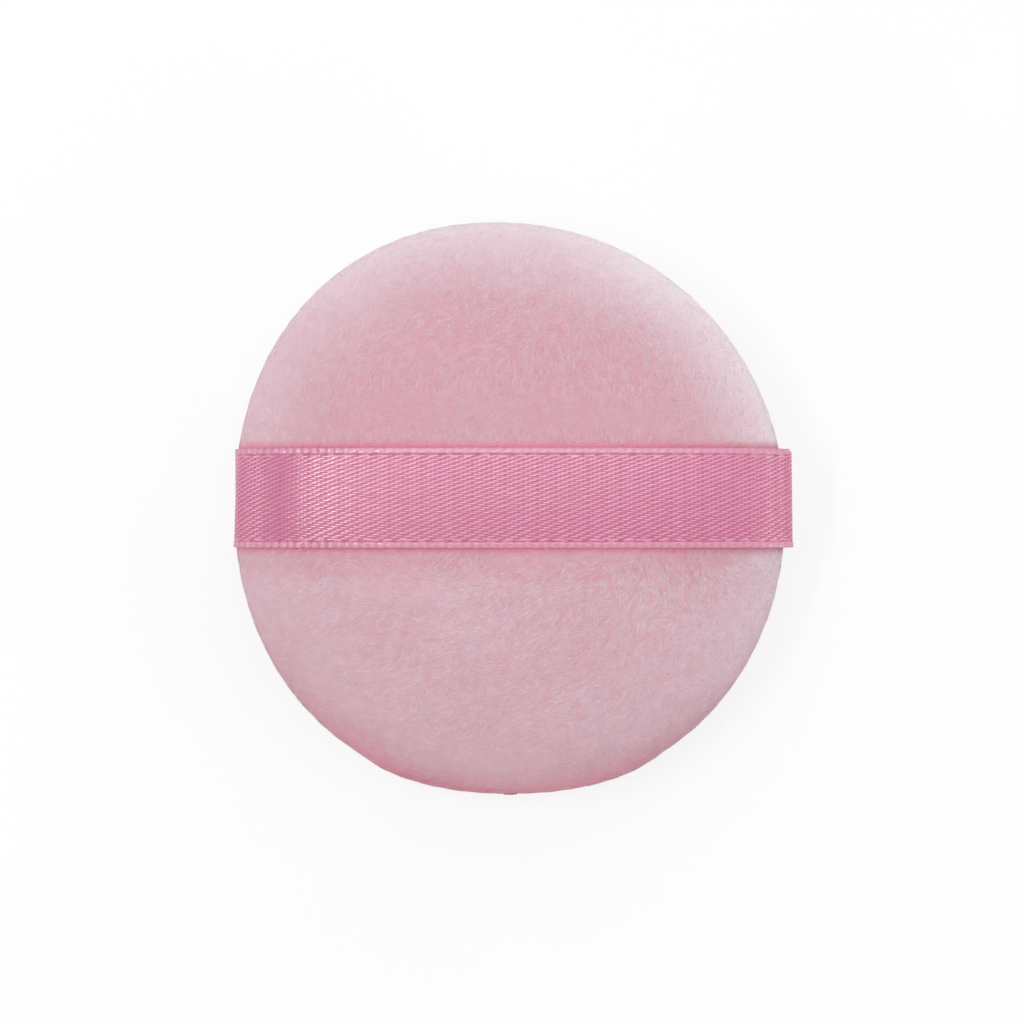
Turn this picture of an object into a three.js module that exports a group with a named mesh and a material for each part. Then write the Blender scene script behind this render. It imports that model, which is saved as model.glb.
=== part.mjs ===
// Round velour powder puff with a satin finger band, in millimetres, +Z up.
// It lies on its powder face: z = 0 is the surface under it, the band runs along X across the back,
// and the origin is on that surface under the middle of the pad.
import * as THREE from "three";

// Pad as sewn and filled, before the band is pulled tight
const PAD_DIAMETER = 70;
const BACK_CROWN = 9.2; // height of the back above the seam
const FRONT_CROWN = 9.2; // depth of the powder face below the seam
const FACE_FULLNESS = 2.6; // power of the crown across the pad: 2 is an ellipse, more is flatter
const SIDE_FULLNESS = 2.2; // power of the crown up the side
const REST_FLAT = 0.5; // depth of the powder face that is pressed flat where the pad rests

// Velour panels and their seam
const VELOUR = 1.8; // knitted ground and pile together
const SEAM_ALLOWANCE = 5; // edge of each panel that is turned in at the rim
const PRESSED_VELOUR = 0.8; // thickness of that edge in the seam
const SEAM_ROLL = 0.85; // radius with which each panel rolls into the seam
const TURNING_GAP = 30; // length of rim that is closed by hand, at the -Y side

// Ribbon
const RIBBON_WIDTH = 12;
const RIBBON_THICKNESS = 0.3;
const SELVAGE_WIDTH = 0.85; // woven edge on each side
const SELVAGE_THICKNESS = 0.4;
const BAND_OFFSET = 1.2; // from the middle of the pad to the middle of the band, along Y
const BAND_BEND = 0.35; // radius of the turn where the band leaves the seam
const DRAW_IN = 1.3; // how far the tight band draws each side of the pad in
const CHANNEL_DEPTH = 0.8; // how deep it presses into the back
const CHANNEL_MARGIN = 1; // flat floor of the channel beside each selvage
const CHANNEL_SLOPE = 6; // width over which the channel rises to the crown

// Sewing thread
const THREAD = 0.3; // diameter
const STITCH = 3; // length of a machine stitch
const HAND_STITCH = 5; // length of a hand stitch
const STITCH_INSET = 1.5; // from the inside of the velour to the line of machine stitches

// Fits
const SEAT_GAP = 0.3; // between pieces that lie against each other
const SLOT_GAP = 0.2; // on each side of a ribbon end in the seam

// Steps of the faceted surfaces
const ROUND_STEPS = 48;
const CROWN_STEPS = 9;
const ROLL_STEPS = 3;
const BEND_STEPS = 4;

// Heights in the shapes below are measured from the seam
const radius = PAD_DIAMETER / 2;
const seamHeight = FRONT_CROWN - REST_FLAT;
const slot = SEAT_GAP / 2;
const ribbonRoom = Math.max(0, SELVAGE_THICKNESS / 2 + SLOT_GAP - slot);
const rim = slot + SEAM_ROLL;
const allowanceTop = slot + PRESSED_VELOUR;
const side = radius - DRAW_IN;

// Turn, from the edge to the top of a crown, at which it reaches a share of its height
const turnAt = (share) => Math.asin(share ** (SIDE_FULLNESS / 2));
const wholeTurn = Math.PI / 2;
const flatTurn = turnAt((seamHeight - rim) / (FRONT_CROWN - rim));

// Point of a crown that rises from its edge at the height base to its top on the axis
function crownPoint(edge, base, top, turn) {
  const reach = Math.max(0, Math.cos(turn)) ** (2 / FACE_FULLNESS);
  const rise = Math.sin(turn) ** (2 / SIDE_FULLNESS);
  return new THREE.Vector2(edge * reach, base + (top - base) * rise);
}

// Outline of a crown from its edge to the axis; one that ends before a whole turn has a flat top
function crown(edge, base, top, lastTurn) {
  const points = [];
  for (let i = 0; i <= CROWN_STEPS; i++) {
    points.push(crownPoint(edge, base, top, (lastTurn * i) / CROWN_STEPS));
  }
  const last = points[CROWN_STEPS];
  if (lastTurn < wholeTurn) {
    points.push(new THREE.Vector2(0, last.y));
  } else {
    last.x = 0;
  }
  return points;
}

// Cross-section of one velour panel: its inside, the turned-in seam allowance, the roll and its outside
function panelSection(top, lastTurn) {
  const inside = crown(radius - VELOUR, allowanceTop, top - VELOUR, lastTurn).reverse();
  const allowanceEnd = radius - SEAM_ALLOWANCE;
  const allowance = [new THREE.Vector2(allowanceEnd, allowanceTop), new THREE.Vector2(allowanceEnd, slot)];
  const roll = [];
  for (let i = 0; i < ROLL_STEPS; i++) {
    const angle = (wholeTurn * i) / ROLL_STEPS;
    const out = radius - SEAM_ROLL + SEAM_ROLL * Math.sin(angle);
    roll.push(new THREE.Vector2(out, rim - SEAM_ROLL * Math.cos(angle)));
  }
  return [...inside, ...allowance, ...roll, ...crown(radius, rim, top, lastTurn)];
}

// Half of the core's cross-section, from the groove that the seam allowances press into it to the axis
function coreSection(top, lastTurn) {
  const groove = allowanceTop + 2 * SEAT_GAP + 2 * THREAD;
  const edge = radius - VELOUR - SEAT_GAP;
  const peak = top - VELOUR - SEAT_GAP;
  const lip = crownPoint(edge, allowanceTop, peak, turnAt((groove - allowanceTop) / (peak - allowanceTop)));
  const floor = new THREE.Vector2(radius - SEAM_ALLOWANCE - SEAT_GAP, groove);
  const face = crown(edge, allowanceTop, peak, lastTurn).filter((point) => point.y > groove + THREAD);
  return [floor, lip, ...face];
}

// The same section on the other side of the seam
const below = (section) => section.map((point) => new THREE.Vector2(point.x, -point.y)).reverse();

// How fully the band presses down at a distance along Y: all of it under the ribbon, none beyond the slope
function pressure(y) {
  const floor = RIBBON_WIDTH / 2 + CHANNEL_MARGIN;
  return 1 - THREE.MathUtils.smoothstep(Math.abs(y - BAND_OFFSET), floor, floor + CHANNEL_SLOPE);
}

// What the tight band does to the round pad: it draws the sides in, presses a channel across the back
// and holds the seam open where its ends go in
function tighten(geometry) {
  const at = geometry.getAttribute("position");
  for (let i = 0; i < at.count; i++) {
    const height = at.getZ(i);
    const press = pressure(at.getY(i));
    const farFace = height > 0 ? BACK_CROWN : seamHeight;
    const spread = ribbonRoom * Math.sign(height) * Math.max(0, 1 - Math.abs(height) / farFace);
    const sink = CHANNEL_DEPTH * Math.max(0, height / BACK_CROWN);
    at.setX(i, (at.getX(i) * side) / radius);
    at.setZ(i, height + press * (spread - sink));
  }
  geometry.computeVertexNormals();
  return geometry;
}

const turned = (section) => tighten(new THREE.LatheGeometry(section, ROUND_STEPS).rotateX(Math.PI / 2));

// Line of a ribbon seen from the side, swept flat across its width; the selvages are thicker than the middle
function ribbon(line) {
  const edge = RIBBON_WIDTH / 2;
  const inner = edge - SELVAGE_WIDTH;
  const thin = RIBBON_THICKNESS / 2;
  const thick = SELVAGE_THICKNESS / 2;
  const top = [[-edge, thick], [-inner, thick], [-inner, thin], [inner, thin], [inner, thick], [edge, thick]];
  const section = [...top, ...top.map(([across, up]) => [-across, -up])];
  const position = [];
  line.forEach((point, i) => {
    const ahead = line[Math.min(i + 1, line.length - 1)].clone();
    const along = ahead.sub(line[Math.max(i - 1, 0)]).normalize();
    for (const [across, up] of section) {
      position.push(point.x - along.y * up, BAND_OFFSET + across, point.y + along.x * up);
    }
  });
  const count = section.length;
  const index = [];
  for (let i = 0; i < line.length - 1; i++) {
    for (let j = 0; j < count; j++) {
      const a = i * count + j;
      const b = i * count + ((j + 1) % count);
      index.push(a, a + count, b, b, a + count, b + count);
    }
  }
  const cap = THREE.ShapeUtils.triangulateShape(section.map(([across, up]) => new THREE.Vector2(across, up)), []);
  const lastRow = (line.length - 1) * count;
  for (const [a, b, c] of cap) {
    index.push(c, b, a);
    index.push(lastRow + a, lastRow + b, lastRow + c);
  }
  const geometry = new THREE.BufferGeometry();
  geometry.setAttribute("position", new THREE.Float32BufferAttribute(position, 3));
  geometry.setIndex(index);
  geometry.computeVertexNormals();
  return geometry;
}

// Side view of the band from its middle to the turn where it leaves the seam
function bandHalf() {
  const reach = side + SEAT_GAP + BAND_BEND;
  const top = BACK_CROWN - CHANNEL_DEPTH + SEAT_GAP + SELVAGE_THICKNESS / 2;
  const line = crown(reach, rim + BAND_BEND, top, wholeTurn).reverse();
  for (let i = 0; i <= BEND_STEPS; i++) {
    const angle = (wholeTurn * i) / BEND_STEPS;
    const inwards = BAND_BEND * (1 - Math.cos(angle));
    line.push(new THREE.Vector2(reach - inwards, BAND_BEND * (1 - Math.sin(angle))));
  }
  return line;
}

const mirrored = (line) => line.map((point) => new THREE.Vector2(-point.x, point.y)).reverse();
const rightHalf = bandHalf();
const bandLine = [...mirrored(rightHalf).slice(0, -1), ...rightHalf];

// Ribbon end between the seam allowances, from their inner edge to the rim
const tailLine = [new THREE.Vector2((side * (radius - SEAM_ALLOWANCE)) / radius, 0), new THREE.Vector2(side, 0)];

// Thread that runs round the rim between two angles and weaves up and down across its line
class Stitches extends THREE.Curve {
  constructor(reach, from, sweep, stitchLength, heightAt) {
    super();
    this.reach = reach;
    this.from = from;
    this.sweep = sweep;
    this.count = Math.max(2, Math.round((reach * sweep) / stitchLength));
    this.heightAt = heightAt;
    this.arcLengthDivisions = 16 * this.count;
  }
  getPoint(share) {
    const angle = this.from + this.sweep * share;
    const height = this.heightAt(Math.PI * this.count * share);
    return new THREE.Vector3(this.reach * Math.cos(angle), this.reach * Math.sin(angle), height);
  }
}

function thread(path) {
  const section = new THREE.Shape().absarc(0, 0, THREAD / 2, 0, 2 * Math.PI);
  const settings = { steps: 2 * path.count, curveSegments: 3, extrudePath: path };
  return tighten(new THREE.ExtrudeGeometry(section, settings));
}

// The machine seam leaves out the turning gap, which the hand stitches close in the mouth of the seam
const gapSweep = TURNING_GAP / radius;
const gapStart = -wholeTurn - gapSweep / 2;
const seamReach = radius - VELOUR - STITCH_INSET;
const seamBase = allowanceTop + SEAT_GAP + THREAD / 2;
const overCloth = (phase) => seamBase + THREAD * Math.abs(Math.sin(phase));
const underCloth = (phase) => -overCloth(phase);
const ladder = (phase) => THREAD * 0.8 * Math.sin(phase);
const seamSweep = 2 * Math.PI - gapSweep;
const needleLine = new Stitches(seamReach, gapStart + gapSweep, seamSweep, STITCH, overCloth);
const bobbinLine = new Stitches(seamReach, gapStart + gapSweep, seamSweep, STITCH, underCloth);
const closingLine = new Stitches(radius, gapStart, gapSweep, HAND_STITCH, ladder);

const velourPink = { color: 0xd9a9b6, roughness: 0.95, metalness: 0 };
const satinPink = { color: 0xde93b3, roughness: 0.45, metalness: 0 };
const foamCream = { color: 0xf2e8d5, roughness: 0.9, metalness: 0 };
const threadPink = { color: 0xc9788f, roughness: 0.7, metalness: 0 };

const puff = new THREE.Group();
puff.name = "powder_puff";
puff.position.z = seamHeight;

function add(name, geometry, look) {
  const mesh = new THREE.Mesh(geometry, new THREE.MeshStandardMaterial(look));
  mesh.name = name;
  puff.add(mesh);
}

add("back_cover", turned(panelSection(BACK_CROWN, wholeTurn)), velourPink);
add("front_cover", turned(below(panelSection(FRONT_CROWN, flatTurn))), velourPink);
const core = [...below(coreSection(FRONT_CROWN, flatTurn)), ...coreSection(BACK_CROWN, wholeTurn)];
add("foam_core", turned(core), foamCream);
add("finger_band", ribbon(bandLine), satinPink);
add("band_tail_left", ribbon(mirrored(tailLine)), satinPink);
add("band_tail_right", ribbon(tailLine), satinPink);
add("needle_thread", thread(needleLine), threadPink);
add("bobbin_thread", thread(bobbinLine), threadPink);
add("closing_thread", thread(closingLine), threadPink);

export default puff;
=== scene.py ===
import math

import bpy
import numpy as np
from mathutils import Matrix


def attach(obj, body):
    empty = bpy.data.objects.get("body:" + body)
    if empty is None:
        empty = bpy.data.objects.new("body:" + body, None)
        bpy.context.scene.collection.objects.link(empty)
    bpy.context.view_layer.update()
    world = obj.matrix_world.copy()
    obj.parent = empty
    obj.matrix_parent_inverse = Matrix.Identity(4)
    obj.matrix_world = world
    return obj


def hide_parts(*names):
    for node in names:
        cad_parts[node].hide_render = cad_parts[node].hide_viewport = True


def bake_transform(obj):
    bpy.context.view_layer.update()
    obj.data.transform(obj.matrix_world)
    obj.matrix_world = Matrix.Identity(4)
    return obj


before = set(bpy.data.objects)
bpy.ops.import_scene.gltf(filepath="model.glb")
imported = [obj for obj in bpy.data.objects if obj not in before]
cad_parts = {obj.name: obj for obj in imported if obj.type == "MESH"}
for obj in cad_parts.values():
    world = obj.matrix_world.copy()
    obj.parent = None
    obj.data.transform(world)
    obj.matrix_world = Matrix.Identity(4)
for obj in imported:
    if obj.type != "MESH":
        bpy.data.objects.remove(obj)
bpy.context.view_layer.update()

# Sizes of the part's source, in millimetres; heights are measured from the seam until settle() lifts them
MM = 0.001
RADIUS = 35.0
SIDE = 33.7
SEAM_HEIGHT = 8.7
BACK_CROWN = 9.2
FRONT_CROWN = 9.2
FACE_FULLNESS = 2.6
SIDE_FULLNESS = 2.2
VELOUR = 1.8
SEAM_ROLL = 0.85
SLOT = 0.15
RIM = SLOT + SEAM_ROLL
ALLOWANCE_TOP = 0.95
ALLOWANCE_END = 30.0
SEAT_GAP = 0.3
RIBBON_ROOM = 0.25
CHANNEL_DEPTH = 0.8
BAND_OFFSET = 1.2
RIBBON_WIDTH = 12.0
RIBBON_THICKNESS = 0.3
SELVAGE_WIDTH = 0.85
SELVAGE_THICKNESS = 0.4
BAND_BEND = 0.35
BAND_REACH = SIDE + SEAT_GAP + BAND_BEND
BAND_TOP = BACK_CROWN - CHANNEL_DEPTH + SEAT_GAP + SELVAGE_THICKNESS / 2
THREAD = 0.3
STITCH = 3.0
HAND_STITCH = 5.0
SEAM_REACH = 31.7
SEAM_BASE = ALLOWANCE_TOP + SEAT_GAP + THREAD / 2
TURNING_GAP = 30.0
GAP_SWEEP = TURNING_GAP / RADIUS
GAP_START = -math.pi / 2 - GAP_SWEEP / 2

# Outline of the photographed pad: powers of its curve, and how far its top leans to the left
OUTLINE_POWER_TOP = 2.07
OUTLINE_POWER_BOTTOM = 2.13
LEAN = 1.75

# Velour: how deep its ground lies under the pile and under the ribbon, and its pile
PILE_DEPTH = 0.12
PRESSED_DEPTH = 0.36
STRANDS = 48000
STRAND_LENGTH = 0.42
STRAND_LEAN = 88
STROKE_SIZE = 0.22

# Steps that spread numbered strands evenly both ways over a panel
EVEN_STEPS = (0.7548776662466927, 0.5698402909980532)

# Satin: spacing of the floats along the ribbon, shift from one to the next, rows to a millimetre, how the
# rows close up, half sizes of a float, how many kinds there are, its height, spacing of the selvage's beads,
# and how far the ribbon bulges across its width
FLOAT_PITCH = 0.551
FLOAT_SHIFT = 0.387
FLOAT_ROWS = 1.776
ROW_CLOSING = 0.025
FLOAT_HALF = (0.43, 0.105)
FLOAT_KINDS = 4096
FLOAT_HEIGHT = 0.03
BEAD = 1.03
BULGE = 0.28

# Mesh steps
ROUND_STEPS = 440
RINGS = 190
BAND_COLUMNS = 320
BAND_ROWS = 284

# Light: strength of the sky on the lower and the upper side of the photograph, and angles from straight up,
# in radians, of a dark flag on the left and a bright card above, which only reflections show
SKY_BELOW = 0.43
SKY_ABOVE = 0.87
FLAG_ANGLE = 0.75
CARD_ANGLE = 0.2


# Shape

def smooth(values, low, high):
    share = np.clip((values - low) / (high - low), 0, 1)
    return share * share * (3 - 2 * share)


def unit(vectors):
    return vectors / np.maximum(np.linalg.norm(vectors, axis=-1, keepdims=True), 1e-9)


# Smooth random field over points, with features of about the given size
def field(points, size, seed):
    rng = np.random.default_rng(seed)
    waves = unit(rng.normal(size=(14, points.shape[1])))
    waves *= (math.pi / size) * rng.uniform(0.6, 1.4, (14, 1))
    phase = rng.uniform(0, 2 * math.pi, 14)
    return np.sin(points @ waves.T + phase).sum(axis=1) / math.sqrt(7)


# Uneven grains of a given size
def grain(points, size, seed):
    table = np.random.default_rng(seed).random((48, 48, 48))
    place = points / size
    cell = np.floor(place).astype(int)
    share = place - cell
    share = share * share * (3 - 2 * share)
    total = np.zeros(len(points))
    for corner in range(8):
        step = np.array([corner & 1, corner >> 1 & 1, corner >> 2 & 1])
        x, y, z = ((cell + step) % 48).T
        total += np.prod(np.where(step, share, 1 - share), axis=1) * table[x, y, z]
    return total


def crown(edge, base, top, turn):
    reach = edge * np.maximum(np.cos(turn), 0) ** (2 / FACE_FULLNESS)
    rise = base + (top - base) * np.sin(turn) ** (2 / SIDE_FULLNESS)
    return np.stack([reach, rise], axis=1)


# The round pad as the tight band leaves it, with the lopsided outline of the photograph
def settle(points):
    x, y, height = points[:, 0], points[:, 1], points[:, 2]
    reach = np.hypot(x, y)
    angle = np.arctan2(y, x)
    blunt = 0.1 * smooth(-y / np.maximum(reach, 1e-9), 0.83, 0.92)
    power = np.where(y > 0, OUTLINE_POWER_TOP, OUTLINE_POWER_BOTTOM + blunt)
    whole = np.abs(np.cos(angle)) ** power + np.abs(np.sin(angle)) ** power
    fuller = 1 + (whole ** (-1 / power) - 1) * (reach / RADIUS) ** 2
    press = 1 - smooth(np.abs(y - BAND_OFFSET), 7, 13)
    far = np.where(height > 0, BACK_CROWN, SEAM_HEIGHT)
    spread = RIBBON_ROOM * np.sign(height) * np.maximum(0, 1 - np.abs(height) / far)
    sink = 0.6 * CHANNEL_DEPTH * np.maximum(0, height / BACK_CROWN)
    lean = LEAN * np.clip(y / RADIUS, 0, 1) ** 1.5
    settled_x = x * fuller * SIDE / RADIUS - lean
    settled_z = height + press * (spread - sink) + SEAM_HEIGHT
    return np.stack([settled_x, y * fuller, settled_z], axis=1)


# Outside of a velour panel from the seam to the axis: points, outward normals and lengths along it
def panel_outside(top, flat_height):
    turn = np.linspace(0, math.pi / 2, 12)
    roll = np.stack([RADIUS - SEAM_ROLL + SEAM_ROLL * np.sin(turn), RIM - SEAM_ROLL * np.cos(turn)], axis=1)
    last = math.pi / 2
    if flat_height < top:
        last = math.asin(((flat_height - RIM) / (top - RIM)) ** (SIDE_FULLNESS / 2))
    line = np.concatenate([roll[:-1], crown(RADIUS, RIM, top, np.linspace(0, last, 56))])
    if flat_height < top:
        inwards = np.linspace(line[-1, 0], 0, 14)[1:]
        line = np.concatenate([line, np.stack([inwards, np.full(13, line[-1, 1])], axis=1)])
    line[-1, 0] = 0
    along = unit(np.gradient(line, axis=0))
    normals = np.stack([along[:, 1], -along[:, 0]], axis=1)
    normals[-1] = (0, 1)
    steps = np.linalg.norm(np.diff(line, axis=0), axis=1)
    return line, normals, np.concatenate([[0], np.cumsum(steps)])


# Gentle lumps of the foam and puckers that the seam draws into the cloth beside it
def unevenness(points, length):
    angle = np.arctan2(points[:, 1], points[:, 0])
    pucker = np.sin(angle * 73 + 1.5 * np.sin(angle * 5)) * np.exp(-((length - 1.6) / 1.1) ** 2)
    rest = smooth(length, 1, 6)
    return 0.06 * rest * field(points, 11, 3) + 0.012 * rest * field(points, 3.5, 4) + 0.02 * pucker


# Cloth of a panel at given lengths from the seam and angles: settled points, outward normals and the way
# down to the seam
def cloth(panel, length, angle, side):
    line, normals, lengths = panel
    reach = np.interp(length, lengths, line[:, 0])
    height = np.interp(length, lengths, line[:, 1])
    out = np.interp(length, lengths, normals[:, 0])
    up = np.interp(length, lengths, normals[:, 1])
    points = np.stack([reach * np.cos(angle), reach * np.sin(angle), height], axis=1)
    facing = unit(np.stack([out * np.cos(angle), out * np.sin(angle), up], axis=1))
    down = unit(np.stack([up * np.cos(angle), up * np.sin(angle), -out], axis=1))
    beside = np.abs(points[:, 1] - BAND_OFFSET)
    under = (1 - smooth(beside, 4.6, 5.7)) * (side > 0)
    inset = PILE_DEPTH * smooth(length, 0, 2.5) * (1 - under) + PRESSED_DEPTH * under
    swelling = 0.1 * (1 - smooth(length, 0, 1.5)) * smooth(beside, 7, 9)
    points = points + facing * (unevenness(points, length) - inset + swelling)[:, None]
    mirror = np.array([1, 1, side])
    points = settle(points * mirror)
    points[:, 2] = np.maximum(points[:, 2], 0.02)
    return points, facing * mirror, down * mirror


# Tone of the nap, from deep rose at 0 to near white at 1: painted shade along the ribbon's edges and at the
# lower rim, a painted sheen over the upper right rim, a lighter lower half and faint random patches
def nap_shade(points):
    x = points[:, 0] + LEAN * np.clip(points[:, 1] / RADIUS, 0, 1) ** 1.5
    inwards = RADIUS * (1 - np.hypot(x / SIDE, points[:, 1] / RADIUS))
    angle = np.arctan2(points[:, 1], x)
    towards = 0.5 + 0.5 * np.cos(angle - 0.9)
    below = smooth(-points[:, 1], 6, 10)
    # painted sheen: the pile pales towards white near the rim, most towards the upper right, where the light
    # grazes it
    painted_sheen = 0.47 * (0.12 + 0.88 * towards ** 1.3) * np.clip(1 - inwards / 12, 0, 1) ** 1.3
    painted_sheen = painted_sheen * (1 - 0.4 * below)
    lower = 0.085 * below
    # painted shade: deeper rose along the lower rim, which faces away from the light
    lower_rim_shade = 0.46 * np.exp(-np.maximum(inwards, 0) / 1.6) * np.clip(-np.sin(angle), 0, 1) ** 3
    lower_rim_shade = lower_rim_shade * smooth(points[:, 2], 0.5 * SEAM_HEIGHT, 1.1 * SEAM_HEIGHT)
    # painted shade: the pile turns deep rose in a thin line along each edge of the ribbon
    gap = np.abs(np.abs(points[:, 1] - BAND_OFFSET) - RIBBON_WIDTH / 2)
    ribbon_edge_shade = np.exp(-(gap / 0.55) ** 2) * (points[:, 2] > SEAM_HEIGHT)
    patches = 0.009 * field(points, 1.1, 41) + 0.012 * field(points, 7, 42)
    return np.clip((0.46 + painted_sheen + lower - lower_rim_shade + patches) * (1 - 0.7 * ribbon_edge_shade), 0, 1)


# Mesh building

def mesh_object(name, points, quads, triangles, material, attributes):
    mesh = bpy.data.meshes.new(name)
    quads = np.asarray(quads, int).reshape(-1, 4)
    triangles = np.asarray(triangles, int).reshape(-1, 3)
    corners = np.concatenate([quads.ravel(), triangles.ravel()])
    starts = np.concatenate([np.arange(len(quads)) * 4, len(quads) * 4 + np.arange(len(triangles)) * 3])
    mesh.vertices.add(len(points))
    mesh.vertices.foreach_set("co", (points * MM).astype(np.float32).ravel())
    mesh.loops.add(len(corners))
    mesh.loops.foreach_set("vertex_index", corners.astype(np.int32))
    mesh.polygons.add(len(starts))
    mesh.polygons.foreach_set("loop_start", starts.astype(np.int32))
    mesh.update(calc_edges=True)
    mesh.validate()
    mesh.polygons.foreach_set("use_smooth", np.ones(len(starts), bool))
    for key, values in attributes.items():
        layer = mesh.attributes.new(key, "FLOAT", "POINT")
        layer.data.foreach_set("value", values.astype(np.float32))
    mesh.materials.append(material)
    piece = bpy.data.objects.new(name, mesh)
    bpy.context.scene.collection.objects.link(piece)
    return piece


# Places in the baked picture, so that strands of one tone share one spot there
def bake_map(piece, places):
    layer = piece.data.uv_layers.new(name="OFBake")
    layer.data.foreach_set("uv", places.astype(np.float32).ravel())


# Quads between rings of equal length; the rings close on themselves
def ring_quads(rings, count):
    ring = np.arange(rings - 1)[:, None] * count
    here = np.arange(count)[None, :]
    after = (here + 1) % count
    quads = np.stack([ring + here, ring + after, ring + count + after, ring + count + here], axis=-1)
    return quads.reshape(-1, 4)


# Solid of revolution from a closed section whose first and last points lie on the axis
def turned(name, section, place, material):
    angle = np.linspace(0, 2 * math.pi, ROUND_STEPS, endpoint=False)
    rings = section[1:-1]
    points = place(np.repeat(rings, ROUND_STEPS, axis=0), np.tile(angle, len(rings)))
    poles = place(section[[0, -1]], np.zeros(2))
    quads = ring_quads(len(rings), ROUND_STEPS)
    first, last = len(points), len(points) + 1
    here = np.arange(ROUND_STEPS)
    after = (here + 1) % ROUND_STEPS
    start = np.stack([np.full(ROUND_STEPS, first), after, here], axis=1)
    base = (len(rings) - 1) * ROUND_STEPS
    end = np.stack([np.full(ROUND_STEPS, last), base + here, base + after], axis=1)
    points = np.concatenate([points, poles])
    return mesh_object(name, points, quads, np.concatenate([start, end]), material, {})


# Materials

def linear(red, green, blue):
    share = np.array([red, green, blue]) / 255
    low = share / 12.92
    high = ((share + 0.055) / 1.055) ** 2.4
    return (*np.where(share <= 0.04045, low, high), 1.0)


class Material:
    def __init__(self, name):
        self.material = bpy.data.materials.new(name)
        self.material.use_nodes = True
        self.tree = self.material.node_tree
        self.shader = self.tree.nodes["Principled BSDF"]

    def node(self, kind, **values):
        made = self.tree.nodes.new(kind)
        for key, value in values.items():
            setattr(made, key, value)
        return made

    def link(self, source, target):
        self.tree.links.new(source, target)

    def set(self, **values):
        for key, value in values.items():
            self.shader.inputs[key.replace("_", " ")].default_value = value

    def attribute(self, name):
        return self.node("ShaderNodeAttribute", attribute_name=name).outputs["Fac"]

    def noise(self, scale, detail, rough):
        place = self.node("ShaderNodeTexCoord")
        made = self.node("ShaderNodeTexNoise")
        made.inputs["Scale"].default_value = scale
        made.inputs["Detail"].default_value = detail
        made.inputs["Roughness"].default_value = rough
        self.link(place.outputs["Object"], made.inputs["Vector"])
        return made.outputs["Fac"]

    def ramp(self, source, *stops):
        made = self.node("ShaderNodeValToRGB")
        ramp = made.color_ramp
        while len(ramp.elements) < len(stops):
            ramp.elements.new(0.5)
        for element, (position, colour) in zip(ramp.elements, stops):
            element.position = position
            element.color = colour
        self.link(source, made.inputs["Fac"])
        return made.outputs["Color"]

    def mix(self, share, first, second, blend="MIX"):
        made = self.node("ShaderNodeMix", data_type="RGBA", blend_type=blend)
        for source, target in ((share, 0), (first, 6), (second, 7)):
            if isinstance(source, (float, tuple)):
                made.inputs[target].default_value = source
            else:
                self.link(source, made.inputs[target])
        return made.outputs[2]

    def bump(self, source, strength, distance):
        made = self.node("ShaderNodeBump")
        made.inputs["Strength"].default_value = strength
        made.inputs["Distance"].default_value = distance
        self.link(source, made.inputs["Height"])
        self.link(made.outputs["Normal"], self.shader.inputs["Normal"])

    def colour(self, source):
        self.link(source, self.shader.inputs["Base Color"])


def velour_ground():
    made = Material("velour_ground")
    nap = made.attribute("nap")
    # deep rose at 0 is the painted shade along the ribbon and the lower rim; near white at 1 is the painted
    # sheen
    deep, middle, painted_sheen = linear(231, 127, 151), linear(212, 172, 183), linear(232, 224, 230)
    shade = made.ramp(nap, (0.0, deep), (0.5, middle), (1.0, painted_sheen))
    patches = made.ramp(made.noise(900, 3, 0.6), (0.3, linear(250, 246, 247)), (0.7, linear(255, 255, 255)))
    made.colour(made.mix(1.0, shade, patches, "MULTIPLY"))
    made.bump(made.noise(4200, 2, 0.5), 0.4, 0.0002)
    made.set(Roughness=0.95, Specular_IOR_Level=0.1, Sheen_Weight=0.35, Sheen_Roughness=0.35)
    made.set(Sheen_Tint=linear(252, 240, 244))
    return made.material


def velour_pile():
    made = Material("velour_pile")
    tone = made.attribute("tone")
    # deep rose at 0 is the painted shade along the ribbon and the lower rim and the darkest strokes; near
    # white at 1 is the painted sheen and the palest strokes
    deep, middle, painted_sheen = linear(230, 127, 151), linear(217, 175, 186), linear(230, 219, 225)
    root = made.ramp(tone, (0.0, deep), (0.5, middle), (1.0, painted_sheen))
    deep, middle, painted_sheen = linear(231, 134, 156), linear(221, 185, 195), linear(240, 234, 239)
    tip = made.ramp(tone, (0.0, deep), (0.5, middle), (1.0, painted_sheen))
    made.colour(made.mix(made.attribute("tip"), root, tip))
    made.set(Roughness=0.9, Specular_IOR_Level=0.12, Sheen_Weight=0.35, Sheen_Roughness=0.35)
    made.set(Sheen_Tint=linear(253, 243, 247))
    return made.material


def satin():
    made = Material("satin")
    height = made.attribute("relief")
    tone = made.attribute("tone")
    # weave colour by float height: partly the threads' own colour, partly painted shade in the gaps and a
    # painted highlight on the float tops
    woven = made.ramp(height, (0.05, linear(179, 75, 116)), (0.7, linear(215, 139, 170)))
    # selvage colour by tone: its paler crests and crown are a painted highlight
    selvage = made.ramp(tone, (0.0, linear(183, 92, 127)), (1.0, linear(211, 144, 169)))
    made.colour(made.mix(made.attribute("edge"), woven, selvage))
    gloss = made.ramp(height, (0.1, (0.5, 0.5, 0.5, 1)), (0.5, (0.235, 0.235, 0.235, 1)))
    made.link(gloss, made.shader.inputs["Roughness"])
    made.bump(made.noise(9000, 2, 0.5), 0.15, 0.00004)
    made.set(Specular_IOR_Level=0.9, IOR=1.55, Sheen_Weight=0.1, Sheen_Roughness=0.3)
    return made.material


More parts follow.
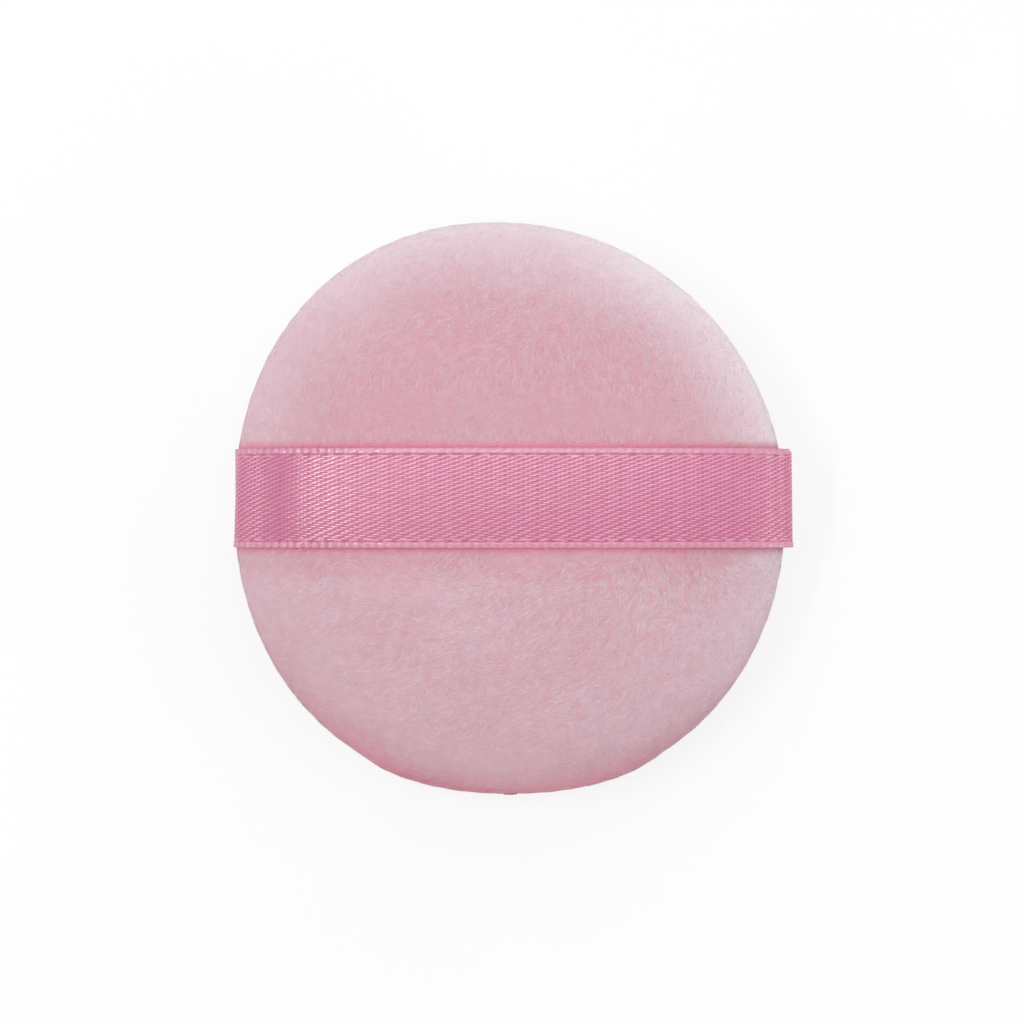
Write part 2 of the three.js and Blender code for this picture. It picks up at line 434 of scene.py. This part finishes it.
def sewing_thread():
    made = Material("sewing_thread")
    twist = made.attribute("twist")
    # the twist attribute paints shade between the plies: 0 where a ply meets the other, 1 on its outer side
    made.colour(made.ramp(twist, (0.0, linear(153, 44, 79)), (1.0, linear(207, 96, 127))))
    made.bump(made.noise(16000, 2, 0.5), 0.3, 0.00003)
    made.set(Roughness=0.6, Specular_IOR_Level=0.4, Sheen_Weight=0.3)
    return made.material


def foam():
    made = Material("foam")
    cells = made.noise(1500, 4, 0.65)
    made.colour(made.ramp(cells, (0.3, linear(226, 208, 176)), (0.7, linear(248, 238, 218))))
    made.bump(cells, 0.6, 0.0004)
    made.set(Roughness=0.95, Specular_IOR_Level=0.15)
    return made.material


# Velour panels

def panel_piece(name, panel, top, side, material):
    rings = panel[2][-1] * np.linspace(1, 0, RINGS)
    last = math.pi / 2
    if side < 0:
        last = math.asin(((SEAM_HEIGHT - RIM) / (top - RIM)) ** (SIDE_FULLNESS / 2))
    inside = crown(RADIUS - VELOUR, ALLOWANCE_TOP, top - VELOUR, np.linspace(0, last, 20))
    inside = np.concatenate([inside, [[0, inside[-1, 1]]]])
    corner = np.array([[ALLOWANCE_END, SLOT], [ALLOWANCE_END, ALLOWANCE_TOP]])
    hidden = np.concatenate([corner, inside])

    def place(section, angle):
        outside = section[:, 1] < 0
        points = cloth(panel, np.where(outside, section[:, 0], 0), angle, side)[0]
        reach, height = section[:, 0], section[:, 1] * side
        under = settle(np.stack([reach * np.cos(angle), reach * np.sin(angle), height], axis=1))
        return np.where(outside[:, None], points, under)

    shown = np.stack([rings, np.full(len(rings), -1.0)], axis=1)
    piece = turned(name, np.concatenate([shown, hidden]), place, material)
    places = np.empty(3 * len(piece.data.vertices))
    piece.data.vertices.foreach_get("co", places)
    nap = piece.data.attributes.new("nap", "FLOAT", "POINT")
    nap.data.foreach_set("value", nap_shade(places.reshape(-1, 3) / MM).astype(np.float32))
    if side < 0:
        piece.data.flip_normals()
    return piece


# Direction in which the pile lies, seen from above, as the strokes in the photograph show it
def lie(points):
    x, y = points[:, 0], points[:, 1]
    base = 1.05 + smooth(-y, 3, 9) * (smooth(x, -5, 20) - 0.8)
    angle = base + 0.35 * field(points, 9, 21) + 0.35 * field(points, 2.5, 22)
    above = smooth(y, 7, 9) * (1 - smooth(y, 13, 20))
    angle = angle * (1 - above) + above * (math.pi / 2 + 0.2 * field(points, 3, 23))
    strokes = np.exp(-((x - 4) / 9) ** 2 - ((y + 20) / 7) ** 2)
    angle = angle * (1 - strokes) + strokes * (0.5 + 0.15 * field(points, 2, 24))
    tuft = np.exp(-((x - 18) / 4) ** 2 - ((y + 9) / 3.5) ** 2)
    return angle * (1 - tuft) + tuft * (2.1 + 0.5 * field(points, 1.5, 25))


# Strokes that neighbouring strands share, drawn out along the way they lie
def strokes(points, flow):
    total = sum(grain(points + step * flow, STROKE_SIZE, 40) for step in np.linspace(-0.3, 0.3, 5))
    x, y = points[:, 0], points[:, 1]
    crushed = 0.6 * np.exp(-((x - 17) / 6) ** 2 - ((y + 11) / 5) ** 2)
    beside_ribbon = 0.7 * np.exp(-((y - 9) / 4) ** 2)
    calm_rim = 0.6 * smooth(np.hypot(x, y), 24, 31)
    return (total - total.mean()) / total.std() * (1 + crushed + beside_ribbon - calm_rim)


# Half a panel's pile: three-sided strands that lie on the cloth, shaded by their place and their stroke
def pile_piece(name, panel, side, first_angle, seed, material):
    line, _, lengths = panel
    rng = np.random.default_rng(seed)
    fine = np.linspace(0, lengths[-1], 2000)
    share = np.cumsum(np.interp(fine, lengths, line[:, 0]) + 0.05)
    number = np.arange(STRANDS) + 0.5
    along = (number * EVEN_STEPS[0]) % 1
    length = np.interp(along, share / share[-1], fine)
    length = np.maximum(length + rng.normal(0, 0.05, STRANDS), 0.3)
    angle = first_angle + math.pi * ((number * EVEN_STEPS[1]) % 1)
    root, facing, down = cloth(panel, length, angle, side)
    turn = (lie(root) - angle)[:, None]
    beside = np.cross(facing, down) * side
    stroke = strokes(root, down * np.cos(turn) + beside * np.sin(turn))
    tone = nap_shade(root) + 0.26 * np.minimum(stroke, 1.2) + rng.normal(0, 0.08, STRANDS)
    tone = np.clip(tone, 0, 1)
    turn = turn + rng.normal(0, 0.15, (STRANDS, 1))
    flow = down * np.cos(turn) + beside * np.sin(turn)
    across = np.cross(facing, flow)
    grown = STRAND_LENGTH + 0.05 * rng.normal(size=STRANDS) + 0.06 * stroke
    under = (np.abs(root[:, 1] - BAND_OFFSET) < 6.2) * (root[:, 2] > SEAM_HEIGHT)
    grown = np.clip(grown, 0.3, 0.9) * smooth(length, -1.5, 2) * np.where(under, 0.55, 1)
    grown = grown[:, None]
    lean = np.radians(np.clip(rng.normal(STRAND_LEAN, 1.5, STRANDS), 84, 90))[:, None]
    rise = facing * np.cos(lean) + flow * np.sin(lean)
    above = facing * np.sin(lean) - flow * np.cos(lean)
    tip = root + grown * rise
    root = root - 0.05 * facing
    width = rng.uniform(0.045, 0.1, STRANDS)[:, None]
    points = np.empty((STRANDS, 4, 3))
    smoothed = np.empty((STRANDS, 4, 3))
    for corner in range(3):
        around = math.pi / 2 + corner * 2 * math.pi / 3
        offset = across * math.cos(around) + above * math.sin(around)
        points[:, corner] = root + offset * width
        smoothed[:, corner] = facing + 0.45 * offset
    points[:, 3] = tip
    smoothed[:, 3] = facing
    points[:, :, 2] = np.maximum(points[:, :, 2], 0.01)
    start = np.arange(STRANDS)[:, None, None] * 4
    triangles = start + np.array([[0, 1, 3], [1, 2, 3], [2, 0, 3], [0, 2, 1]])
    attributes = {"tip": np.tile([0.0, 0.0, 0.0, 1.0], STRANDS), "tone": np.repeat(tone, 4)}
    piece = mesh_object(name, points.reshape(-1, 3), [], triangles, material, attributes)
    piece.data.normals_split_custom_set_from_vertices(unit(smoothed).reshape(-1, 3))
    level = np.array([0, 0, 1, 0, 0, 1, 0, 0, 1, 0, 0, 0.02])
    column = 0.01 + 0.95 * tone[:, None] + 0.02 * np.tile([0, 1, 0.5], 4)
    bake_map(piece, np.stack([column, np.tile(0.01 + 0.98 * level, (STRANDS, 1))], axis=-1))
    return piece


# Ribbon

# Side view of the band from its middle to the mouth of the seam: places and lengths along it
def band_half():
    turn = np.linspace(math.pi / 2, 0, 200)
    over = crown(BAND_REACH, RIM + BAND_BEND, BAND_TOP, turn)
    over[0, 0] = 0
    bend = np.linspace(0, math.pi / 2, 12)
    inwards = np.stack([BAND_REACH - BAND_BEND * (1 - np.cos(bend)), BAND_BEND * (1 - np.sin(bend))], axis=1)
    mouth = np.array([[SIDE + 0.03, 0]])
    line = np.concatenate([over, inwards, mouth])
    steps = np.linalg.norm(np.diff(line, axis=0), axis=1)
    return line, np.concatenate([[0], np.cumsum(steps)])


# Height of the woven floats over the ribbon: long dashes in diagonal rows, each a little different; the rows
# lie closer at the upper selvage
def floats(along, across):
    rng = np.random.default_rng(51)
    lively = rng.uniform(0.6, 1.0, FLOAT_KINDS)
    stray = rng.normal(0, 0.014, FLOAT_KINDS)
    column = np.floor(along / FLOAT_PITCH)
    rows = FLOAT_ROWS * across + ROW_CLOSING * across ** 2 + 20
    height = np.zeros_like(along)
    for near in (-1, 0, 1):
        this = column + near
        beside = along - (this + 0.5) * FLOAT_PITCH
        row = rows - FLOAT_SHIFT * this
        number = ((this * 37 + np.round(row) * 101) % FLOAT_KINDS).astype(int)
        above = (row - np.round(row)) / (FLOAT_ROWS + 2 * ROW_CLOSING * across) + stray[number]
        long_way = np.maximum(0, 1 - (beside / FLOAT_HALF[0]) ** 4)
        short_way = np.maximum(0, 1 - (above / FLOAT_HALF[1]) ** 4)
        height = np.maximum(height, long_way * short_way * lively[number])
    return height


# Upper side of the band: its relief, and the attributes that its material reads
def ribbon_face(along, over):
    inner = RIBBON_WIDTH / 2 - 0.9 * SELVAGE_WIDTH
    edge = smooth(np.abs(over), inner - 0.05, inner + 0.05)
    round_edge = np.clip((np.abs(over) - inner) / SELVAGE_WIDTH, 0, 1)
    cord = np.sqrt(np.clip(1 - (2 * round_edge - 1) ** 2, 0, 1))
    # painted highlight: about 24 mm left of the middle the selvage beads are paler as well as higher, where
    # the strip lamp glints
    lively = 0.35 + 0.65 * np.exp(-((along + 24) / 6) ** 2)
    bead = np.cos(2 * math.pi * along / BEAD + 0.6 * np.sign(over))
    weave = floats(along + 40, over)
    stitch = np.sin(math.pi * along / BEAD + np.sign(over))
    # dashed stitch line in a groove inside each selvage; its dark colour is painted shade in the groove
    seam_line = np.exp(-((np.abs(over) - inner) / 0.08) ** 2) * (0.3 + 0.7 * smooth(stitch, -0.1, 0.4))
    pick = np.maximum(0, 1 - ((np.abs(over) - inner + 0.2) / 0.1) ** 2) * smooth(-stitch, -0.2, 0.3)
    weave = np.maximum(weave, pick)
    relief = (1 - edge) * (FLOAT_HEIGHT * weave - 0.01)
    relief = relief + edge * (0.06 * cord + 0.07 * lively * bead * cord) - 0.06 * seam_line
    attributes = {
        "relief": weave * (1 - seam_line),
        "edge": edge * (1 - 0.6 * seam_line),
        # selvage tone: paler on the bead crests and the cord's crown, a painted highlight
        "tone": 0.4 + 0.5 * bead * lively + 0.3 * cord,
    }
    return relief, attributes


# Places on the band, at given heights over its middle layer: it bulges across its width, and its two ends
# reach slightly different places, with a soft fold at the right end
def band_place(half, along, over, up):
    line, lengths = half
    side = np.sign(along)
    distance = np.abs(along)
    x = np.interp(distance, lengths, line[:, 0])
    h = np.interp(distance, lengths, line[:, 1])
    step = 0.05
    ahead = np.minimum(distance + step, lengths[-1])
    behind = np.maximum(distance - step, 0)
    out = np.interp(ahead, lengths, line[:, 0]) - np.interp(behind, lengths, line[:, 0])
    rise = np.interp(ahead, lengths, line[:, 1]) - np.interp(behind, lengths, line[:, 1])
    size = np.hypot(out, rise)
    out, rise = out / size, rise / size
    crease = np.maximum(0, 1 - np.abs(distance - 36.2) / 2.6) * np.where(side > 0, 0.45, 0.0)
    bulge = BULGE * (1 - (2 * over / RIBBON_WIDTH) ** 2) * (1 - smooth(distance, 26, 36))
    up = up + bulge - 0.16 + crease
    reach = np.where(side > 0, 34.05 - 0.012 * over, 33.55 - 0.03 * over)
    rounded = np.where(side > 0, 0.3, 0.1) * smooth(over, 5.2, 6) ** 2 * smooth(distance, 33, 36)
    stretch = 1 + (reach / BAND_REACH - 1) * smooth(distance, 20, 35)
    x = (x - rise * up) * stretch - rounded
    h = h + out * up
    return np.stack([side * x, BAND_OFFSET + over, h + SEAM_HEIGHT], axis=-1).reshape(-1, 3)


def ribbon_piece(material):
    half = band_half()
    whole = half[1][-1]
    station = np.linspace(-whole, whole, BAND_COLUMNS + 1)
    across = np.linspace(-RIBBON_WIDTH / 2, RIBBON_WIDTH / 2, BAND_ROWS + 1)
    beneath = np.linspace(-RIBBON_WIDTH / 2, RIBBON_WIDTH / 2, 5)
    along, over = np.meshgrid(station, across, indexing="ij")
    relief, shown = ribbon_face(along, over)
    upper = band_place(half, along, over, RIBBON_THICKNESS / 2 + relief)
    along, over = np.meshgrid(station, beneath, indexing="ij")
    lower = band_place(half, along, over, np.full(along.shape, -RIBBON_THICKNESS / 2))
    wide, low_wide = BAND_ROWS + 1, len(beneath)
    base = len(upper)
    here = np.arange(BAND_COLUMNS)[:, None]
    row = np.arange(BAND_ROWS)[None, :]
    corner = here * wide + row
    top_quads = np.stack([corner, corner + wide, corner + wide + 1, corner + 1], axis=-1).reshape(-1, 4)
    low_row = np.arange(low_wide - 1)[None, :]
    corner = base + here * low_wide + low_row
    low_quads = np.stack([corner, corner + 1, corner + low_wide + 1, corner + low_wide], axis=-1)
    low_quads = low_quads.reshape(-1, 4)
    column = np.arange(BAND_COLUMNS)
    first, low_first = column * wide, base + column * low_wide
    last, low_last = first + wide - 1, low_first + low_wide - 1
    near = np.stack([first, low_first, low_first + low_wide, first + wide], axis=1)
    far = np.stack([last, last + wide, low_last + low_wide, low_last], axis=1)
    triangles = []
    for end in (0, BAND_COLUMNS):
        tops = end * wide + np.arange(wide)
        lows = base + end * low_wide + np.arange(low_wide)
        fan = np.stack([np.full(BAND_ROWS, lows[0]), tops[:-1], tops[1:]], axis=1)
        rest = np.stack([lows[1:], lows[:-1], np.full(low_wide - 1, tops[-1])], axis=1)
        made = np.concatenate([fan, rest])
        triangles.append(made if end == 0 else made[:, ::-1])
    attributes = {}
    for key, hidden in (("relief", 0.0), ("edge", 0.0), ("tone", 0.3)):
        attributes[key] = np.concatenate([shown[key].ravel(), np.full(len(lower), hidden)])
    points = np.concatenate([upper, lower])
    quads = np.concatenate([top_quads, low_quads, near, far])
    return mesh_object("ribbon_band", points, quads, np.concatenate(triangles), material, attributes)


# End of the ribbon that the seam holds, with the same weave on both sides
def ribbon_end(name, side, material):
    columns, rows = 40, 72
    station = np.linspace(SIDE * ALLOWANCE_END / RADIUS, SIDE, columns + 1)
    across = np.linspace(-RIBBON_WIDTH / 2, RIBBON_WIDTH / 2, rows + 1)
    along, over = np.meshgrid(station, across, indexing="ij")
    edge = smooth(np.abs(over), 5.1, 5.2)
    weave = floats(along, over)
    top = RIBBON_THICKNESS / 2 - FLOAT_HEIGHT + FLOAT_HEIGHT * weave * (1 - edge)
    upper = np.stack([side * along, BAND_OFFSET + over, SEAM_HEIGHT + top], axis=-1).reshape(-1, 3)
    lower = upper.copy()
    lower[:, 2] = 2 * SEAM_HEIGHT - lower[:, 2]
    wide = rows + 1
    corner = np.arange(columns)[:, None] * wide + np.arange(rows)[None, :]
    top_quads = np.stack([corner, corner + wide, corner + wide + 1, corner + 1], axis=-1).reshape(-1, 4)
    low_quads = top_quads[:, ::-1] + len(upper)
    rim = np.concatenate([
        np.arange(columns) * wide, columns * wide + np.arange(rows),
        columns * wide + rows - np.arange(columns) * wide, rows - np.arange(rows),
    ])
    after = np.roll(rim, -1)
    walls = np.stack([rim, rim + len(upper), after + len(upper), after], axis=1)
    quads = np.concatenate([top_quads, low_quads, walls])
    attributes = {
        "relief": np.tile(weave.ravel(), 2),
        "edge": np.tile(edge.ravel(), 2),
        "tone": np.full(2 * len(upper), 0.5),
    }
    piece = mesh_object(name, np.concatenate([upper, lower]), quads, [], material, attributes)
    if side < 0:
        piece.data.flip_normals()
    return piece


# Threads

# Two plies twisted round a path, with a full turn in every 0.9 mm
def twisted(name, path, material):
    sides, lay = 6, 0.9
    along = unit(np.gradient(path, axis=0))
    out = unit(path * np.array([1, 1, 0]))
    across = unit(np.cross(along, out))
    out = np.cross(across, along)
    steps = np.linalg.norm(np.diff(path, axis=0), axis=1)
    twist = np.concatenate([[0], np.cumsum(steps)]) * 2 * math.pi / lay
    parts, quads, triangles, shade = [], [], [], []
    for ply in range(2):
        turn = twist + ply * math.pi
        centre = path + THREAD / 4 * (out * np.cos(turn)[:, None] + across * np.sin(turn)[:, None])
        base = len(parts) * sides * len(path)
        around = np.linspace(0, 2 * math.pi, sides, endpoint=False)
        ring = out[:, None] * np.cos(around)[None, :, None] + across[:, None] * np.sin(around)[None, :, None]
        parts.append((centre[:, None] + THREAD / 4 * ring).reshape(-1, 3))
        # painted shade: each ply is darker on the side that meets the other ply and paler on its outer side
        shade.append(0.5 + 0.5 * np.cos(around[None, :] - turn[:, None]).ravel())
        quads.append(ring_quads(len(path), sides) + base)
        last = base + (len(path) - 1) * sides
        for corner in range(1, sides - 1):
            triangles.append((base, base + corner + 1, base + corner))
            triangles.append((last, last + corner, last + corner + 1))
    points = settle(np.concatenate(parts))
    attributes = {"twist": np.concatenate(shade)}
    return mesh_object(name, points, np.concatenate(quads), triangles, material, attributes)


# Machine stitches all round the seam but for the turning gap, on one side of it
def seam_path(side):
    sweep = 2 * math.pi - GAP_SWEEP
    count = round(SEAM_REACH * sweep / STITCH)
    share = np.linspace(0, 1, count * 20 + 1)
    angle = GAP_START + GAP_SWEEP + sweep * share
    height = side * (SEAM_BASE + THREAD * np.abs(np.sin(math.pi * count * share)))
    return np.stack([SEAM_REACH * np.cos(angle), SEAM_REACH * np.sin(angle), height], axis=1)


# Hand stitches sunk in the pile, but for one bar that lies on the rim
def closing_path():
    count = round(RADIUS * GAP_SWEEP / HAND_STITCH)
    share = np.linspace(0, 1, count * 40 + 1)
    angle = GAP_START + GAP_SWEEP * share
    bar = np.exp(-((angle + math.pi / 2) * RADIUS / 1.3) ** 4)
    reach = RADIUS - 0.35 + 0.45 * bar
    height = 0.8 * THREAD * np.sin(math.pi * count * share) * (1 - 0.6 * bar)
    return np.stack([reach * np.cos(angle), reach * np.sin(angle), height], axis=1)


# Stage

# Camera straight above, and lamps that face the puff; size is across and up
def studio():
    scene = bpy.context.scene
    scene.view_settings.view_transform = "Standard"
    camera = bpy.data.objects.new("camera", bpy.data.cameras.new("camera"))
    camera.data.lens = 85
    camera.data.sensor_width = 36
    camera.location = (0.000245, -0.00049, 0.3056)
    scene.collection.objects.link(camera)
    scene.camera = camera
    for name, place, size, power in (
        ("overhead", (0.0, 0.07, 0.55), (0.40, 0.10), 0.38),
        ("rim", (0.18, 0.42, 0.14), (0.50, 0.20), 0.5),
        ("strip", (-0.186, 0.0, 0.38), (0.20, 0.022), 0.32),
        ("left", (-0.41, -0.08, 0.16), (0.34, 0.10), 0.2),
        ("right", (0.40, -0.16, 0.14), (0.30, 0.10), 0.36),
    ):
        lamp = bpy.data.objects.new(name, bpy.data.lights.new(name, "AREA"))
        lamp.data.shape = "RECTANGLE"
        lamp.data.size, lamp.data.size_y = size
        lamp.data.energy = power
        lamp.location = place
        lamp.rotation_mode = "QUATERNION"
        lamp.rotation_quaternion = lamp.location.to_track_quat("Z", "Y")
        scene.collection.objects.link(lamp)


# Whether a ray is one of these kinds
def kind_of_ray(tree, first, *others):
    paths = tree.nodes.new("ShaderNodeLightPath")
    seen = paths.outputs[first]
    for name in others:
        either = tree.nodes.new("ShaderNodeMath")
        either.operation = "MAXIMUM"
        tree.links.new(seen, either.inputs[0])
        tree.links.new(paths.outputs[name], either.inputs[1])
        seen = either.outputs[0]
    return seen


# A number or another node's output into an input
def feed(tree, target, given):
    if isinstance(given, float):
        target.default_value = given
    else:
        tree.links.new(given, target)


# Sky that is white to the camera, soft to the cloth, and shaped by the flag and the card in reflections
def sky():
    world = bpy.data.worlds.new("studio")
    bpy.context.scene.world = world
    world.use_nodes = True
    tree = world.node_tree
    light = tree.nodes["Background"]
    light.inputs["Color"].default_value = (1, 1, 1, 1)
    place = tree.nodes.new("ShaderNodeTexCoord")
    parts = tree.nodes.new("ShaderNodeSeparateXYZ")
    tree.links.new(place.outputs["Generated"], parts.inputs["Vector"])
    x, y, z = parts.outputs

    def spread(value, span, first, last):
        made = tree.nodes.new("ShaderNodeMapRange")
        names = ("Value", "From Min", "From Max", "To Min", "To Max")
        for name, given in zip(names, (value, *span, first, last)):
            feed(tree, made.inputs[name], given)
        return made.outputs["Result"]

    def combined(operation, first, second=0.0):
        made = tree.nodes.new("ShaderNodeMath")
        made.operation = operation
        feed(tree, made.inputs[0], first)
        feed(tree, made.inputs[1], second)
        return made.outputs[0]

    off_flag = combined("ABSOLUTE", combined("ADD", combined("ARCTAN2", x, z), FLAG_ANGLE))
    off_card = combined("ABSOLUTE", combined("SUBTRACT", combined("ARCTAN2", y, z), CARD_ANGLE))
    flag = spread(off_flag, (0.1, 0.26), 0.0, 1.0)
    card = spread(off_card, (0.08, 0.24), 2.4, 0.9)
    soft = spread(y, (-1.0, 1.0), SKY_BELOW, SKY_ABOVE)
    glossy = kind_of_ray(tree, "Is Glossy Ray")
    unseen = spread(glossy, (0.0, 1.0), soft, combined("MULTIPLY", card, flag))
    seen = kind_of_ray(tree, "Is Camera Ray", "Is Transmission Ray")
    tree.links.new(spread(seen, (0.0, 1.0), unseen, 1.0), light.inputs["Strength"])


# Pale floor that glows a little towards the camera, so that it is white but for the shadow
def pale_floor():
    made = Material("floor_white")
    dull, bright = linear(246, 245, 245), linear(250, 249, 249)
    made.colour(made.ramp(made.noise(30, 3, 0.5), (0.2, dull), (0.8, bright)))
    made.set(Roughness=0.9, Specular_IOR_Level=0.1)
    glow = made.node("ShaderNodeEmission")
    glow.inputs["Color"].default_value = (1, 1, 1, 1)
    share = made.node("ShaderNodeMapRange")
    share.inputs["To Max"].default_value = 0.75
    seen = kind_of_ray(made.tree, "Is Camera Ray", "Is Glossy Ray", "Is Transmission Ray")
    made.link(seen, share.inputs["Value"])
    both = made.node("ShaderNodeMixShader")
    made.link(share.outputs["Result"], both.inputs["Fac"])
    made.link(made.shader.outputs["BSDF"], both.inputs[1])
    made.link(glow.outputs["Emission"], both.inputs[2])
    made.link(both.outputs["Shader"], made.tree.nodes["Material Output"].inputs["Surface"])
    corners = 900.0 * np.array([[-1, -1, 0], [1, -1, 0], [1, 1, 0], [-1, 1, 0]])
    floor = mesh_object("floor", corners, [[0, 1, 2, 3]], [], made.material, {})


# Foam

# Section of the core from the top of its axis to the bottom, with a groove for the seam allowances
def core_section():
    groove = ALLOWANCE_TOP + 2 * SEAT_GAP + 2 * THREAD
    lining = VELOUR + SEAT_GAP
    over = crown(RADIUS - lining, ALLOWANCE_TOP, BACK_CROWN - lining, np.linspace(0, math.pi / 2, 24))
    over = over[over[:, 1] > groove]
    below = over[over[:, 1] < SEAM_HEIGHT - lining]
    flat = np.array([[0, SEAM_HEIGHT - lining]])
    floor = np.array([[ALLOWANCE_END - SEAT_GAP, groove]])
    over = over[::-1]
    over[0, 0] = 0
    below = np.concatenate([floor, below, flat]) * np.array([1, -1])
    return np.concatenate([over, floor, below])


def core_place(section, angle):
    reach, height = section[:, 0], section[:, 1]
    points = np.stack([reach * np.cos(angle), reach * np.sin(angle), height], axis=1)
    points *= 1 - 0.002 * (1 + field(points, 6, 71))[:, None]
    return settle(points)


studio()
sky()
pale_floor()

# The puff

ground = velour_ground()
nap = velour_pile()
ribbon_satin = satin()
thread = sewing_thread()

back = panel_outside(BACK_CROWN, BACK_CROWN)
front = panel_outside(FRONT_CROWN, SEAM_HEIGHT)
velour_back = panel_piece("velour_back", back, BACK_CROWN, 1, ground)
velour_front = panel_piece("velour_front", front, FRONT_CROWN, -1, ground)
pile = [
    pile_piece("pile_back_upper", back, 1, 0, 61, nap),
    pile_piece("pile_back_lower", back, 1, math.pi, 62, nap),
    pile_piece("pile_front_upper", front, -1, 0, 63, nap),
    pile_piece("pile_front_lower", front, -1, math.pi, 64, nap),
]
foam_filling = turned("foam_filling", core_section(), core_place, foam())
ribbon_band = ribbon_piece(ribbon_satin)
ribbon_left = ribbon_end("ribbon_end_left", -1, ribbon_satin)
ribbon_right = ribbon_end("ribbon_end_right", 1, ribbon_satin)
needle = twisted("seam_needle_thread", seam_path(1), thread)
bobbin = twisted("seam_bobbin_thread", seam_path(-1), thread)
closing = twisted("closing_stitches", closing_path(), thread)

for piece, node, slot in (
    (velour_back, "back_cover", "velour"), (velour_front, "front_cover", "velour"),
    (foam_filling, "foam_core", "foam"), (ribbon_band, "finger_band", "satin"),
    (ribbon_left, "band_tail_left", "satin"), (ribbon_right, "band_tail_right", "satin"),
    (needle, "needle_thread", "thread"), (bobbin, "bobbin_thread", "thread"),
    (closing, "closing_thread", "thread"),
):
    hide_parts(node)
    if piece is not ribbon_band:
        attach(piece, "pad")
for piece in pile:
    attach(piece, "pad")
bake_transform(ribbon_band)
